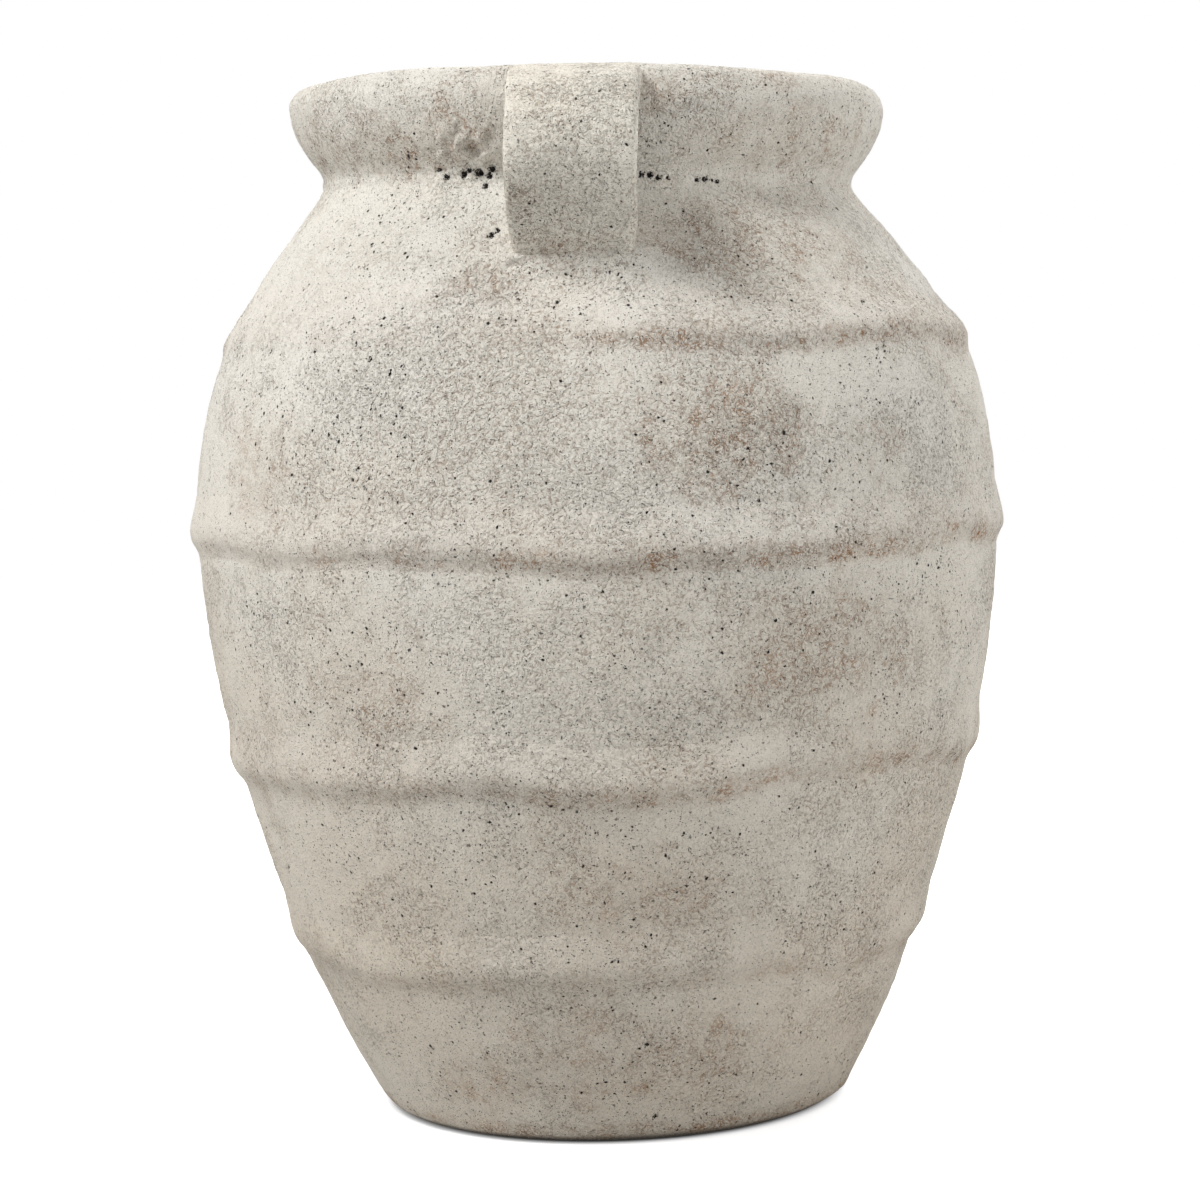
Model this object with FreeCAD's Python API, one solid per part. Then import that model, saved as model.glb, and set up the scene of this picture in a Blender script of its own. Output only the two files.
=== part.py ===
import FreeCAD, Part
import math
import os

# A hand-built clay storage jar, in millimetres, standing on z = 0 with its axis on +Z.
# The wall is a stack of clay rings. Each ring ends in a raised tongue that keys into the next one's groove,
# and a strip of clay is pressed over every join. Two strap handles are pegged to the lip and the shoulder.

# Height and standing foot
height = 422.0
foot_radius = 88.0
foot_edge_radius = 99.5
foot_edge_height = 8.0

# Radius and height of the wall's outer face at the four joins, with one point half way up each ring
foot_join = (129.5, 74.0)
lower_belly_join = (152.6, 148.0)
upper_belly_join = (164.9, 240.0)
shoulder_join = (150.4, 318.0)
foot_middle = (117.6, 44.0)
lower_belly_middle = (142.4, 112.0)
upper_belly_middle = (161.6, 194.0)
shoulder_middle = (162.0, 280.0)
cone_middle = (130.2, 348.0)

# Neck crease, flared collar and rounded lip
cone_end = (113.4, 369.0)
neck = (108.8, 377.0)
collar_start = (111.6, 386.0)
collar_end = (118.6, 398.5)
lip_outer = (122.0, 409.0)
lip_shoulder = (118.2, 419.0)
lip_top_radius = 111.0
lip_inner = (103.2, 416.5)
throat_middle = (98.8, 402.0)
throat_radius = 97.4
crease_slope_in = (-7.0, 9.0)
crease_slope_out = (6.0, 11.0)

# Wall and floor thickness
wall = 11.0
heel_extra = 2.0
cone_wall = 12.5
floor_radius = 84.0
floor_thickness = 12.0
floor_recess = 2.0
floor_bevel = 6.0

# Tongue and groove of a join, and the radius of each tongue's middle
tongue_root = 4.0
tongue_tip = 2.5
tongue_height = 4.5
foot_tongue = 123.2
lower_belly_tongue = 146.0
upper_belly_tongue = 158.2
shoulder_tongue = 141.2
neck_tongue = 103.2

# Applied bands: how deep each is let into the wall, and how far it reaches below and above its join
band_seat = 2.5
band_below = 10.5
band_above = 13.5
band_crest = 1.0
band_shoulder = 3.0
band_shoulder_drop = 0.4
band_rise = 0.12
band_fade = 0.05
foot_band_proud = 2.4
lower_belly_band_proud = 3.1
belly_band_proud = 3.4
shoulder_band_proud = 2.6

# Strap handle: its section, and the middle line of the strap seen from its side as radius and height
handle_width_top = 51.0
handle_width_bottom = 46.0
handle_thickness = 13.0
handle_edge_round = 5.5
handle_route = (
    (107.0, 414.9),
    (126.0, 414.0),
    (142.5, 407.5),
    (151.5, 394.0),
    (148.5, 378.5),
    (138.2, 365.5),
    (118.5, 344.0),
)
handle_start_slope = (1.0, 0.0)
handle_end_slope = (-0.66, -0.75)
peg_radius = 5.0
peg_depth = 7.0
upper_peg_overlap = 2.0
lower_peg_overlap = 4.0
upper_peg_height = 412.5
lower_peg_height = 353.0
lower_peg_slope = -0.7

# Reach of the solids that only cut others
clear = 20.0


def point(radius, z):
    return FreeCAD.Vector(radius, 0, z)


def line(start, end):
    return Part.LineSegment(point(*start), point(*end)).toShape()


def arc(start, middle, end):
    return Part.Arc(point(*start), point(*middle), point(*end)).toShape()


def rounding(flat, end):
    """Arc that leaves a level point sideways and curls up or down to its end."""
    across = end[0] - flat[0]
    rise = end[1] - flat[1]
    radius = (across ** 2 + rise ** 2) / (2 * rise)
    half_turn = math.atan2(abs(across), abs(radius - rise)) / 2
    middle_across = math.copysign(abs(radius) * math.sin(half_turn), across)
    middle = (flat[0] + middle_across, flat[1] + radius * (1 - math.cos(half_turn)))
    return arc(flat, middle, end)


def smooth(points, start_slope, end_slope):
    """Curve through points, leaving the first and reaching the last along a slope of radius and height."""
    curve = Part.BSplineCurve()
    places = [point(*p) for p in points]
    curve.interpolate(Points=places, InitialTangent=point(*start_slope), FinalTangent=point(*end_slope))
    return curve.toShape()


def turn(edges):
    """Close the outline and turn it round the jar's axis."""
    face = Part.Face(Part.Wire(edges))
    return face.revolve(FreeCAD.Vector(0, 0, 0), FreeCAD.Vector(0, 0, 1), 360)


def outline(corners):
    """Straight edges round a closed list of corners."""
    return [line(a, b) for a, b in zip(corners, corners[1:] + corners[:1])]


def wall_radius(z):
    """Outer radius of the plain wall at a height, on the arcs of its rings."""
    rings = (
        (foot_edge_height, (foot_edge_radius, foot_edge_height), foot_middle, foot_join),
        (foot_join[1], foot_join, lower_belly_middle, lower_belly_join),
        (lower_belly_join[1], lower_belly_join, upper_belly_middle, upper_belly_join),
        (upper_belly_join[1], upper_belly_join, shoulder_middle, shoulder_join),
        (shoulder_join[1], shoulder_join, cone_middle, cone_end),
    )
    start, middle, end = [ring[1:] for ring in rings if ring[0] <= z][-1]
    circle = arc(start, middle, end).Curve
    return circle.Center.x + math.sqrt(circle.Radius ** 2 - (z - circle.Center.z) ** 2)


def outer_body():
    """The jar as if it were full: foot, rings, neck and lip, without bands or handles."""
    lip_top = (lip_top_radius, height)
    return turn([
        line((0, 0), (foot_radius, 0)),
        rounding((foot_radius, 0), (foot_edge_radius, foot_edge_height)),
        arc((foot_edge_radius, foot_edge_height), foot_middle, foot_join),
        arc(foot_join, lower_belly_middle, lower_belly_join),
        arc(lower_belly_join, upper_belly_middle, upper_belly_join),
        arc(upper_belly_join, shoulder_middle, shoulder_join),
        arc(shoulder_join, cone_middle, cone_end),
        smooth([cone_end, neck, collar_start], crease_slope_in, crease_slope_out),
        line(collar_start, collar_end),
        arc(collar_end, lip_outer, lip_shoulder),
        rounding(lip_top, lip_shoulder),
        line(lip_top, (0, height)),
        line((0, height), (0, 0)),
    ])


def inside():
    """The hollow, from the top of the floor up through the throat and out past the lip."""
    floor_top = floor_recess + floor_thickness
    bottom = (wall_radius(floor_top) - wall - heel_extra, floor_top)
    inner = [(r - wall, z) for r, z in (foot_join, lower_belly_join, upper_belly_join)]
    middles = (foot_middle, lower_belly_middle, upper_belly_middle, shoulder_middle)
    middle = [(r - wall, z) for r, z in middles]
    inner_shoulder = (shoulder_join[0] - cone_wall, shoulder_join[1])
    inner_cone = (cone_middle[0] - cone_wall, cone_middle[1])
    inner_neck = (throat_radius, neck[1])
    lip_top = (lip_top_radius, height)
    above_lip = (lip_top_radius, height + clear)
    return turn([
        line((0, floor_top), bottom),
        arc(bottom, middle[0], inner[0]),
        arc(inner[0], middle[1], inner[1]),
        arc(inner[1], middle[2], inner[2]),
        arc(inner[2], middle[3], inner_shoulder),
        arc(inner_shoulder, inner_cone, inner_neck),
        arc(inner_neck, throat_middle, lip_inner),
        rounding(lip_top, lip_inner),
        line(lip_top, above_lip),
        line(above_lip, (0, height + clear)),
        line((0, height + clear), (0, floor_top)),
    ])


def below_join(z, tongue):
    """All space below a join's height, with the tongue that stands up from its flat face."""
    far = upper_belly_join[0] + clear
    return turn(outline([
        (0, -clear),
        (far, -clear),
        (far, z),
        (tongue + tongue_root / 2, z),
        (tongue + tongue_tip / 2, z + tongue_height),
        (tongue - tongue_tip / 2, z + tongue_height),
        (tongue - tongue_root / 2, z),
        (0, z),
    ]))


def floor_disc():
    """Round floor with a bevelled edge, so that it sits in the foot ring like a plug."""
    top = floor_recess + floor_thickness
    return turn(outline([
        (0, floor_recess),
        (floor_radius - floor_bevel, floor_recess),
        (floor_radius, floor_recess + floor_bevel),
        (floor_radius, top),
        (0, top),
    ]))


def under_floor():
    """Shallow hollow under the floor, which leaves the jar standing on its foot ring."""
    return Part.makeCylinder(floor_radius - floor_bevel, floor_recess + clear, FreeCAD.Vector(0, 0, -clear))


def band(join, proud):
    """Strip of clay let into the wall over a join, stepping out below and fading out above."""
    z = join[1]
    low = z - band_below
    high = z + band_above
    crest = (wall_radius(z) + proud, z + band_crest)
    shoulder = (crest[0] - band_shoulder_drop, z - band_shoulder)
    low_edge = (wall_radius(low), low)
    high_edge = (wall_radius(high), high)
    low_slope = (low_edge[0] - wall_radius(low - 1) + band_rise, 1)
    high_slope = (wall_radius(high + 1) - high_edge[0] - band_fade, 1)
    return turn([
        line((low_edge[0] - band_seat, low), low_edge),
        smooth([low_edge, shoulder, crest, high_edge], low_slope, high_slope),
        line(high_edge, (high_edge[0] - band_seat, high)),
        line((high_edge[0] - band_seat, high), (low_edge[0] - band_seat, low)),
    ])


def strap_section(centre, along, width):
    """Rounded rectangle square to the strap's middle line, with its width along X."""
    across = FreeCAD.Vector(1, 0, 0)
    up = along.cross(across).normalize()
    half_width = width / 2
    half_thick = handle_thickness / 2
    flat = half_width - handle_edge_round
    side = half_thick - handle_edge_round
    diagonal = handle_edge_round * math.sqrt(0.5)

    def at(x, height_above):
        return centre + across * x + up * height_above

    corners = []
    for sx, sy in ((1, 1), (1, -1), (-1, -1), (-1, 1)):
        first = at(sx * flat, sy * half_thick)
        middle = at(sx * (flat + diagonal), sy * (side + diagonal))
        last = at(sx * half_width, sy * side)
        corners.append([first, middle, last] if sx == sy else [last, middle, first])
    edges = []
    for corner, following in zip(corners, corners[1:] + corners[:1]):
        edges.append(Part.Arc(*corner).toShape())
        edges.append(Part.LineSegment(corner[2], following[0]).toShape())
    return Part.Wire(edges)


def handle_strap():
    """Flat strap of clay on the -Y side, bent from the lip out and down to the shoulder."""
    places = [FreeCAD.Vector(0, -r, z) for r, z in handle_route]
    start = FreeCAD.Vector(0, -handle_start_slope[0], handle_start_slope[1])
    end = FreeCAD.Vector(0, -handle_end_slope[0], handle_end_slope[1])
    route = Part.BSplineCurve()
    route.interpolate(Points=places, InitialTangent=start, FinalTangent=end)
    sweep = Part.BRepOffsetAPI.MakePipeShell(Part.Wire(route.toShape()))
    sweep.add(strap_section(places[0], start, handle_width_top))
    sweep.add(strap_section(places[-1], end, handle_width_bottom))
    sweep.build()
    sweep.makeSolid()
    return sweep.shape()


def handle_pegs():
    """Two pegs on the back of the strap, one into the lip and one into the shoulder."""
    inwards = FreeCAD.Vector(0, 1, 0)
    upper_reach = lip_outer[0] + upper_peg_overlap
    upper_start = FreeCAD.Vector(0, -upper_reach, upper_peg_height)
    upper = Part.makeCylinder(peg_radius, upper_reach - lip_top_radius, upper_start, inwards)
    into_wall = FreeCAD.Vector(0, 1, lower_peg_slope).normalize()
    face = FreeCAD.Vector(0, -wall_radius(lower_peg_height), lower_peg_height)
    lower_start = face - into_wall * lower_peg_overlap
    lower = Part.makeCylinder(peg_radius, peg_depth + lower_peg_overlap, lower_start, into_wall)
    return upper.fuse(lower)


def rear_copy(shape):
    copy = shape.copy()
    copy.rotate(FreeCAD.Vector(0, 0, 0), FreeCAD.Vector(0, 0, 1), 180)
    return copy


def build():
    os.makedirs("parts", exist_ok=True)
    outer = outer_body()
    shell = outer.cut(inside())

    bands = {
        "foot_band": band(foot_join, foot_band_proud),
        "lower_belly_band": band(lower_belly_join, lower_belly_band_proud),
        "belly_band": band(upper_belly_join, belly_band_proud),
        "shoulder_band": band(shoulder_join, shoulder_band_proud),
    }
    pegs = handle_pegs()
    front_handle = handle_strap().cut(outer).fuse(pegs).removeSplitter()
    handles = {"front_handle": front_handle, "rear_handle": rear_copy(front_handle)}

    disc = floor_disc()
    shell = shell.cut(disc).cut(under_floor())
    for piece in list(bands.values()) + list(handles.values()):
        shell = shell.cut(piece)

    pieces = {"floor_disc": disc}
    rings = (
        ("foot_drum", foot_join, foot_tongue),
        ("lower_belly_drum", lower_belly_join, lower_belly_tongue),
        ("upper_belly_drum", upper_belly_join, upper_belly_tongue),
        ("shoulder_drum", shoulder_join, shoulder_tongue),
        ("shoulder_cone", neck, neck_tongue),
    )
    rest = shell
    for name, join, tongue in rings:
        stack = below_join(join[1], tongue)
        pieces[name] = rest.common(stack)
        rest = rest.cut(stack)
    pieces["rim_collar"] = rest
    pieces.update(bands)
    pieces.update(handles)
    for name, shape in pieces.items():
        print(name, len(shape.Solids), "solid", shape.isValid(), round(shape.Volume / 1000, 1), "cm3")
        shape.Solids[0].exportStep("parts/" + name + ".step")


build()
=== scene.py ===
import math
from collections import namedtuple

import bpy
from mathutils import Euler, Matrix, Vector, noise


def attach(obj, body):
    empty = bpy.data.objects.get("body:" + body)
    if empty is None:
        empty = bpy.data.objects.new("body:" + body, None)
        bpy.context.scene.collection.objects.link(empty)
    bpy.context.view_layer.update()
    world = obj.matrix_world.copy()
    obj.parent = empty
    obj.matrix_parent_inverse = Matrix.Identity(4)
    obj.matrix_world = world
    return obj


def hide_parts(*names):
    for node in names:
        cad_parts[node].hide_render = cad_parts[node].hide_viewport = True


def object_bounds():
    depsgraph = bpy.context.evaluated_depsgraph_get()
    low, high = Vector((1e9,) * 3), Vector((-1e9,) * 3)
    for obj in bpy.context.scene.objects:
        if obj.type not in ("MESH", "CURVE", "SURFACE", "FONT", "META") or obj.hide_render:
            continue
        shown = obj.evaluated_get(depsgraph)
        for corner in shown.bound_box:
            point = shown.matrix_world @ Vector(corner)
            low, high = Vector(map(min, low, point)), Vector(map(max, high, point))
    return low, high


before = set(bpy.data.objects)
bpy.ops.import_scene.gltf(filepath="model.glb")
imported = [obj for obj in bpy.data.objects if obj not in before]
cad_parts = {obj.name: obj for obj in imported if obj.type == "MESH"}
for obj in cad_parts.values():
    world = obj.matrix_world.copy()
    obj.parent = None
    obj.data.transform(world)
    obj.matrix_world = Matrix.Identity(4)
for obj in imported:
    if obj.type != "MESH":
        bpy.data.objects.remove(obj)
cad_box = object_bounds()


# Floor disc. A round slab of gritty clay patted out on the turntable, with a bevelled edge. It sits like
# a plug in the foot ring, and shows only to someone who looks down through the mouth. It is bare clay:
# the slip coats the outside and the throat alone.
mm = 0.001
inside_step = 4.0 * mm
disc_radius = 84 * mm
disc_bottom = 2 * mm
disc_top = 14 * mm
disc_bevel = 6 * mm
disc_flat = disc_radius - disc_bevel
pat_width = 12 * mm
pat_depth = 0.6 * mm
pat_step = 2 * mm
same_place = 0.02 * mm
sharp_edge = math.radians(40)


def line(start, end, step):
    """Places of radius and height from start towards end, without the end itself."""
    count = max(1, round(math.dist(start, end) / step))
    return [tuple(a + (b - a) * i / count for a, b in zip(start, end)) for i in range(count)]


def draw(name, outline, closed=True):
    """Starts one point on the outline and extrudes it from place to place round the outline."""
    bpy.ops.object.select_all(action="DESELECT")
    bpy.ops.mesh.primitive_plane_add(size=mm, location=(outline[0][0], 0, outline[0][1]))
    piece = bpy.context.object
    piece.name = name
    bpy.ops.object.transform_apply()
    bpy.ops.object.mode_set(mode="EDIT")
    bpy.ops.mesh.merge(type="CENTER")
    following = outline[1:] + outline[:1] if closed else outline[1:]
    for place, target in zip(outline, following):
        step = (target[0] - place[0], 0, target[1] - place[1])
        bpy.ops.mesh.extrude_region_move(TRANSFORM_OT_translate={"value": step})
    bpy.ops.mesh.select_all(action="SELECT")
    bpy.ops.mesh.remove_doubles(threshold=same_place)
    bpy.ops.object.mode_set(mode="OBJECT")
    return piece


def turn_round(piece, step):
    """Turns the drawn outline once round the jar's axis, in steps of about that length at its widest."""
    widest = max(v.co.x for v in piece.data.vertices)
    wheel = piece.modifiers.new("wheel", "SCREW")
    wheel.axis = "Z"
    wheel.steps = wheel.render_steps = round(math.tau * widest / step)
    wheel.use_merge_vertices = True
    wheel.merge_threshold = same_place
    bpy.ops.object.modifier_apply(modifier="wheel")
    bpy.ops.object.mode_set(mode="EDIT")
    bpy.ops.mesh.select_all(action="SELECT")
    bpy.ops.mesh.remove_doubles(threshold=same_place)
    bpy.ops.mesh.normals_make_consistent(inside=False)
    bpy.ops.object.mode_set(mode="OBJECT")
    bpy.ops.object.shade_smooth_by_angle(angle=sharp_edge)


def paint(red, green, blue):
    """A colour from its everyday 0 to 255 values."""
    parts = [v / 255 for v in (red, green, blue)]
    return [p / 12.92 if p < 0.04045 else ((p + 0.055) / 1.055) ** 2.4 for p in parts] + [1.0]


def put(tree, kind, **settings):
    """A new shader node of that kind, with its settings."""
    made = tree.nodes.new("ShaderNode" + kind)
    for name, value in settings.items():
        setattr(made, name, value)
    return made


def feed(tree, socket, value):
    """Joins the socket to another node's output, or sets a plain value on it."""
    if isinstance(value, bpy.types.NodeSocket):
        tree.links.new(value, socket)
    else:
        socket.default_value = value


def reckon(tree, operation, *values, clamp=False):
    """One step of arithmetic on the values."""
    made = put(tree, "Math", operation=operation, use_clamp=clamp)
    for socket, value in zip(made.inputs, values):
        feed(tree, socket, value)
    return made.outputs[0]


def ease(tree, value, low, high, start=0.0, end=1.0):
    """Goes softly from start to end while the value goes from low to high."""
    made = put(tree, "MapRange", interpolation_type="SMOOTHSTEP")
    for socket, given in zip(made.inputs, (value, low, high, start, end)):
        feed(tree, socket, given)
    return made.outputs[0]


def cloud(tree, place, scale, detail=2.0, roughness=0.55, distortion=0.0):
    """Cloudy variation about 0.5, with that many clouds to the metre."""
    made = put(tree, "TexNoise")
    feed(tree, made.inputs["Vector"], place)
    for name, value in (("Scale", scale), ("Detail", detail), ("Roughness", roughness)):
        feed(tree, made.inputs[name], value)
    feed(tree, made.inputs["Distortion"], distortion)
    return made.outputs["Fac"]


def blend_colour(tree, share, first, second):
    """The first colour, going over to the second by that share."""
    made = put(tree, "Mix", data_type="RGBA")
    feed(tree, made.inputs[0], share)
    feed(tree, made.inputs[6], first)
    feed(tree, made.inputs[7], second)
    return made.outputs[2]


def start_group(name, inputs, outputs):
    """A new shader group with these named inputs and outputs, and its two end nodes."""
    group = bpy.data.node_groups.new(name, "ShaderNodeTree")
    for label, kind, value in inputs:
        socket = group.interface.new_socket(label, in_out="INPUT", socket_type="NodeSocket" + kind)
        if value is not None:
            socket.default_value = value
    for label in outputs:
        group.interface.new_socket(label, in_out="OUTPUT", socket_type="NodeSocketFloat")
    return group, group.nodes.new("NodeGroupInput"), group.nodes.new("NodeGroupOutput")


def use_group(tree, group, **inputs):
    """That group placed in a material, with its own values."""
    made = put(tree, "Group", node_tree=group)
    for name, value in inputs.items():
        feed(tree, made.inputs[name], value)
    return made.outputs


def away_from_middle(tree, value):
    """How far a cloudy value lies from its middle: thin lines of 0 run where the clouds meet."""
    return reckon(tree, "MULTIPLY", reckon(tree, "ABSOLUTE", reckon(tree, "SUBTRACT", value, 0.5)), 2.0)


def sandy_grain():
    """Crumbs of slip with broken creases between them, where the crust is thick, and fine sand all over."""
    group, given, result = start_group(
        "sandy grain",
        (("Place", "Vector", None), ("Crumbs", "Float", 330.0), ("Crust", "Float", 0.5)),
        ("Height", "Crease", "Vein", "Sand"),
    )
    place, crumbs, crust = given.outputs[:3]
    large = cloud(group, place, crumbs, 2.0, 0.6, 0.5)
    small = cloud(group, place, reckon(group, "MULTIPLY", crumbs, 2.3), 2.0, 0.6, 0.3)
    sand = cloud(group, place, reckon(group, "MULTIPLY", crumbs, 4.6), 1.0, 0.5)
    swell = away_from_middle(group, large)
    bead = away_from_middle(group, small)
    rough = reckon(group, "ADD", swell, reckon(group, "MULTIPLY", bead, 0.7))
    height = reckon(group, "MULTIPLY", rough, crust)
    height = reckon(group, "MULTIPLY_ADD", small, reckon(group, "MULTIPLY_ADD", crust, 0.25, 0.2), height)
    height = reckon(group, "MULTIPLY_ADD", sand, 0.22, height)
    feed(group, result.inputs["Height"], height)
    broken = ease(group, small, 0.42, 0.54)
    crease = reckon(group, "MULTIPLY", ease(group, swell, 0.02, 0.13, 1.0, 0.0), broken)
    feed(group, result.inputs["Crease"], reckon(group, "MULTIPLY", crease, ease(group, crust, 0.1, 0.6)))
    wide_vein = ease(group, swell, 0.03, 0.12, 1.0, 0.0)
    fine_vein = ease(group, bead, 0.03, 0.13, 0.8, 0.0)
    feed(group, result.inputs["Vein"], reckon(group, "MAXIMUM", wide_vein, fine_vein))
    feed(group, result.inputs["Sand"], sand)
    return group


hole_sway_clouds = 700.0
hole_sway = 1.6 * mm


def pinholes():
    """Small round holes where air or a grain of lime burst through the surface."""
    group, given, result = start_group(
        "pinholes",
        (
            ("Place", "Vector", None),
            ("Cells", "Float", 190.0),
            ("Size", "Float", 0.2),
            ("Share", "Float", 0.5),
        ),
        ("Hole",),
    )
    place, cells, size, share = given.outputs[:4]
    sway = put(group, "TexNoise")
    feed(group, sway.inputs["Vector"], place)
    feed(group, sway.inputs["Scale"], hole_sway_clouds)
    away = put(group, "VectorMath", operation="SUBTRACT")
    feed(group, away.inputs[0], sway.outputs["Color"])
    feed(group, away.inputs[1], (0.5, 0.5, 0.5))
    bent = put(group, "VectorMath", operation="MULTIPLY_ADD")
    feed(group, bent.inputs[0], away.outputs[0])
    feed(group, bent.inputs[1], (hole_sway,) * 3)
    feed(group, bent.inputs[2], place)
    spots = put(group, "TexVoronoi")
    feed(group, spots.inputs["Vector"], bent.outputs[0])
    feed(group, spots.inputs["Scale"], cells)
    chance = put(group, "SeparateColor")
    feed(group, chance.inputs[0], spots.outputs["Color"])
    own_size = reckon(group, "MULTIPLY", size, ease(group, chance.outputs[1], 0.0, 1.0, 0.4, 1.0))
    depth = reckon(group, "DIVIDE", spots.outputs["Distance"], own_size)
    there = reckon(group, "LESS_THAN", chance.outputs[0], share)
    hollow = ease(group, depth, 0.6, 1.0, 1.0, 0.0)
    feed(group, result.inputs["Hole"], reckon(group, "MULTIPLY", hollow, there))
    return group


grain_group = sandy_grain()
pinhole_group = pinholes()
clay_buff = paint(178, 164, 144)
clay_brown = paint(158, 142, 122)
clay_sand = paint(196, 186, 168)
# Painted shade for the creases of the bare clay.
clay_crease_shade = paint(112, 98, 82)
clay_hole = paint(62, 54, 46)
scrape_rate = 900.0
scrape_wander = 9.0
clay_relief = 0.5 * mm


def bare_clay():
    """Unslipped clay, grey-buff and gritty, with scraping marks that run round the jar.
    Its creases hold painted shade.
    """
    material = bpy.data.materials.new("bare_clay")
    material.use_nodes = True
    tree = material.node_tree
    shader = tree.nodes["Principled BSDF"]
    place = put(tree, "TexCoord").outputs["Object"]
    grain = use_group(tree, grain_group, Place=place, Crumbs=300.0, Crust=0.35)
    holes = use_group(tree, pinhole_group, Place=place, Cells=160.0, Size=0.16, Share=0.4)["Hole"]
    height = put(tree, "SeparateXYZ")
    feed(tree, height.inputs[0], place)
    scrape = cloud(tree, place, 22.0, 3.0)
    wander = reckon(tree, "MULTIPLY", scrape, scrape_wander)
    rings = reckon(tree, "SINE", reckon(tree, "MULTIPLY_ADD", height.outputs["Z"], scrape_rate, wander))
    base = blend_colour(tree, ease(tree, scrape, 0.35, 0.65), clay_buff, clay_brown)
    base = blend_colour(tree, ease(tree, grain["Sand"], 0.35, 0.75, 0.0, 0.5), base, clay_sand)
    # Painted shade in the creases between the crumbs.
    base = blend_colour(tree, reckon(tree, "MULTIPLY", grain["Crease"], 0.6), base, clay_crease_shade)
    base = blend_colour(tree, holes, base, clay_hole)
    feed(tree, shader.inputs["Base Color"], base)
    shader.inputs["Roughness"].default_value = 0.95
    shader.inputs["Specular IOR Level"].default_value = 0.2
    relief = put(tree, "Bump")
    relief.inputs["Distance"].default_value = clay_relief
    rough = reckon(tree, "SUBTRACT", grain["Height"], holes)
    feed(tree, relief.inputs["Height"], reckon(tree, "MULTIPLY_ADD", rings, 0.25, rough))
    feed(tree, shader.inputs["Normal"], relief.outputs[0])
    return material


bare_coat = bare_clay()


def stand_for(piece, node, coat):
    """Gives a finished piece its coat, and lets it stand for the solid of that name."""
    piece.data.materials.append(coat)
    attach(piece, "root")
    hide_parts(node)


top_of_disc = [
    (r, disc_top + pat_depth * (math.cos(r / pat_width * math.tau) - 1) / 2)
    for r, z in line((disc_flat, 0), (0, 0), pat_step)
]
disc_outline = (
    [(0, disc_bottom), (disc_flat, disc_bottom), (disc_radius, disc_bottom + disc_bevel)]
    + [(disc_radius, disc_top)]
    + top_of_disc
    + [(0, disc_top)]
)
floor_disc = draw("clay_floor_disc", disc_outline, closed=False)
turn_round(floor_disc, inside_step / 2)
stand_for(floor_disc, "floor_disc", bare_coat)


# Foot drum. The lowest ring of the wall: coils of clay beaten round the floor disc, scraped inside and
# coated outside with a thick sandy slip. The edge of the flat foot that it stands on is painted near-black
# as contact shade, and a raised tongue on its top face keys into the ring above.
skin_step = 1.2 * mm
tongue_height = 4.5 * mm
tongue_root = 4.0 * mm
tongue_tip = 2.5 * mm
wall = 11.0 * mm
foot_flat = (88.0 * mm, 0.0)
foot_rounding = (95.0 * mm, 2.2 * mm)
foot_edge = (99.5 * mm, 8.0 * mm)
foot_middle = (117.6 * mm, 44.0 * mm)
foot_join = (129.5 * mm, 74.0 * mm)
foot_tongue = 123.2 * mm
heel = (91.0 * mm, disc_top)
usual_crust = 0.42
crust_cloud_scale = 26
crust_cloud_gain = 0.5
crust_spot_scale = 95
crust_spot_gain = 0.25
# Where the slip is thicker or thinner: degrees from the front, height, half width, half height, and gain.
crust_patches = (
    (-18, 318 * mm, 42 * mm, 48 * mm, 0.55),
    (-30, 300 * mm, 40 * mm, 25 * mm, 0.3),
    (-2, 268 * mm, 70 * mm, 22 * mm, 0.25),
    (22, 276 * mm, 34 * mm, 24 * mm, 0.3),
    (24, 314 * mm, 50 * mm, 7 * mm, 0.5),
    (0, 190 * mm, 55 * mm, 40 * mm, 0.2),
    (-8, 110 * mm, 60 * mm, 25 * mm, 0.15),
    (-36, 344 * mm, 62 * mm, 20 * mm, -0.45),
    (40, 345 * mm, 40 * mm, 22 * mm, 0.3),
    (-66, 262 * mm, 40 * mm, 34 * mm, -0.55),
    (-62, 345 * mm, 40 * mm, 26 * mm, -0.5),
    (48, 224 * mm, 55 * mm, 8 * mm, -0.6),
    (38, 300 * mm, 34 * mm, 8 * mm, -0.5),
    (45, 398 * mm, 45 * mm, 14 * mm, -0.4),
    (-50, 130 * mm, 40 * mm, 16 * mm, -0.35),
    (30, 62 * mm, 40 * mm, 12 * mm, -0.4),
    (0, 22 * mm, 130 * mm, 22 * mm, -0.3),
)
patch_end = 4


def around(angle, radius, height):
    """The place at that many degrees round from the front, to the right, and at that radius and height."""
    turn = math.radians(angle)
    return Vector((radius * math.sin(turn), -radius * math.cos(turn), height))


def inward(place, depth=wall):
    """The place on the inside of the wall that lies level with one on the outside."""
    return (place[0] - depth, place[1])


def circle(start, middle, end):
    """Centre and radius of the circle through three places."""
    (ax, ay), (bx, by), (cx, cy) = start, middle, end
    twice = 2 * (ax * (by - cy) + bx * (cy - ay) + cx * (ay - by))
    a2, b2, c2 = ax * ax + ay * ay, bx * bx + by * by, cx * cx + cy * cy
    x = (a2 * (by - cy) + b2 * (cy - ay) + c2 * (ay - by)) / twice
    y = (a2 * (cx - bx) + b2 * (ax - cx) + c2 * (bx - ax)) / twice
    return x, y, math.hypot(ax - x, ay - y)


def arc(start, middle, end, step):
    """Places along the round stretch through three places, without the end itself."""
    x, y, radius = circle(start, middle, end)
    first = math.atan2(start[1] - y, start[0] - x)
    turn = math.remainder(math.atan2(end[1] - y, end[0] - x) - first, math.tau)
    count = max(1, round(abs(turn) * radius / step))
    angles = [first + turn * i / count for i in range(count)]
    return [(x + radius * math.cos(a), y + radius * math.sin(a)) for a in angles]


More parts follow.
